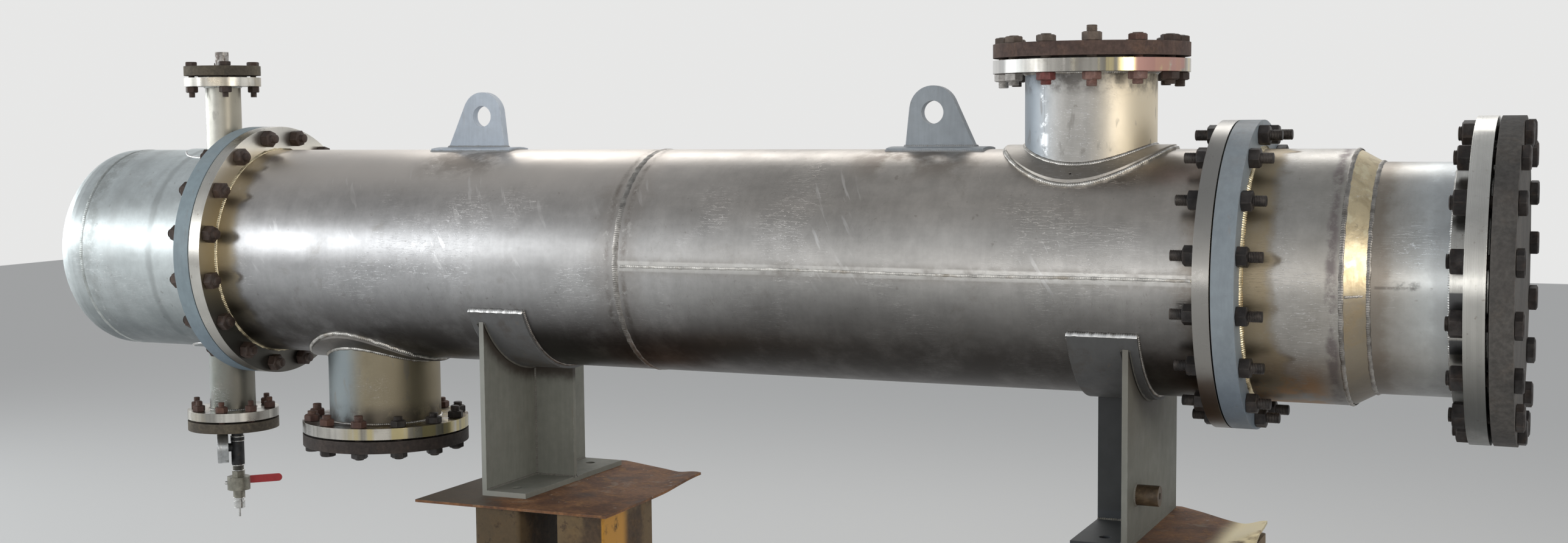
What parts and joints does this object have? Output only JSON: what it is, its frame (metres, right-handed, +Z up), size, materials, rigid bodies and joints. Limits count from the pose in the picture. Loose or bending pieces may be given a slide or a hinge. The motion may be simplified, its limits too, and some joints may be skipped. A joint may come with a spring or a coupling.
{
  "type": "shell and tube heat exchanger",
  "caption": "Horizontal shell and tube heat exchanger on saddles and shop stools, its nozzles closed by blind flanges for a pressure test.",
  "frame": {"origin": "on the floor under the middle of the whole object", "axes": "+X along the shell towards the reducing end, +Z up"},
  "size_m": [3.5512, 0.6395, 1.704],
  "materials": {
    "bonnet_steel": "satin",
    "shell_steel": "satin",
    "channel_steel": "satin",
    "cone_steel": "satin, straw tint",
    "grey_paint": "satin",
    "machined_steel": "machined",
    "gasket": "dull",
    "end_flange_steel": "machined",
    "end_blind_rust": "rusty",
    "vent_steel": "satin",
    "drain_steel": "satin",
    "small_flange_steel": "machined",
    "small_blind_rust": "rusty",
    "stub_steel": "scuffed",
    "tee_iron": "blackened",
    "gauge_case": "polished",
    "valve_brass": "dull",
    "lever_red": "satin",
    "fitting_steel": "bright",
    "high_pipe_steel": "satin",
    "low_pipe_steel": "satin, straw tint",
    "nozzle_pad_steel": "dull",
    "bolt_rust": "blackened, light rust",
    "big_flange_steel": "machined",
    "big_blind_rust": "rusty",
    "lug_paint": "satin",
    "wear_pad_primer": "matte",
    "saddle_primer": "matte",
    "boss_brown": "rusty",
    "stool_top_rust": "rusty",
    "stool_post_rust": "rusty"
  },
  "bodies": {
    "exchanger": {"bonnet_head": "bonnet_steel", "bonnet_barrel": "bonnet_steel", "bonnet_flange": "grey_paint", "body_gaskets": "gasket", "left_tubesheet": "machined_steel", "shell_left": "shell_steel", "shell_right": "shell_steel", "right_tubesheet": "machined_steel", "channel_flange": "grey_paint", "channel_barrel": "channel_steel", "channel_cone": "cone_steel", "channel_neck": "channel_steel", "end_flange": "end_flange_steel", "end_gasket": "gasket", "end_blind": "end_blind_rust", "end_studs": "bolt_rust", "vent_pipe": "vent_steel", "vent_flange": "small_flange_steel", "vent_blind": "small_blind_rust", "vent_stub": "stub_steel", "drain_pipe": "drain_steel", "drain_flange": "small_flange_steel", "drain_blind": "small_blind_rust", "test_tee": "tee_iron", "pressure_gauge": "gauge_case", "test_valve": "valve_brass", "hose_fitting": "fitting_steel", "high_pipe": "high_pipe_steel", "high_flange": "big_flange_steel", "high_blind": "big_blind_rust", "low_pipe": "low_pipe_steel", "low_flange": "big_flange_steel", "low_blind": "big_blind_rust", "nozzle_pads": "nozzle_pad_steel", "nozzle_gaskets": "gasket", "lifting_lugs": "lug_paint", "lug_pads": "lug_paint", "wear_pads": "wear_pad_primer", "saddle_webs": "saddle_primer", "saddle_ribs": "saddle_primer", "saddle_bases": "saddle_primer", "earth_boss": "boss_brown", "stool_tops": "stool_top_rust", "stool_posts": "stool_post_rust"},
    "lever": {"valve_lever": "lever_red"}
  },
  "joints": [
    {"name": "lever_turn", "type": "hinge", "parent": "exchanger", "child": "lever", "pos_m": [-1.38171, 0.02616, 0.586], "axis": [-0.7071, 0.7071, 0], "range_deg": [0, 90]}
  ]
}
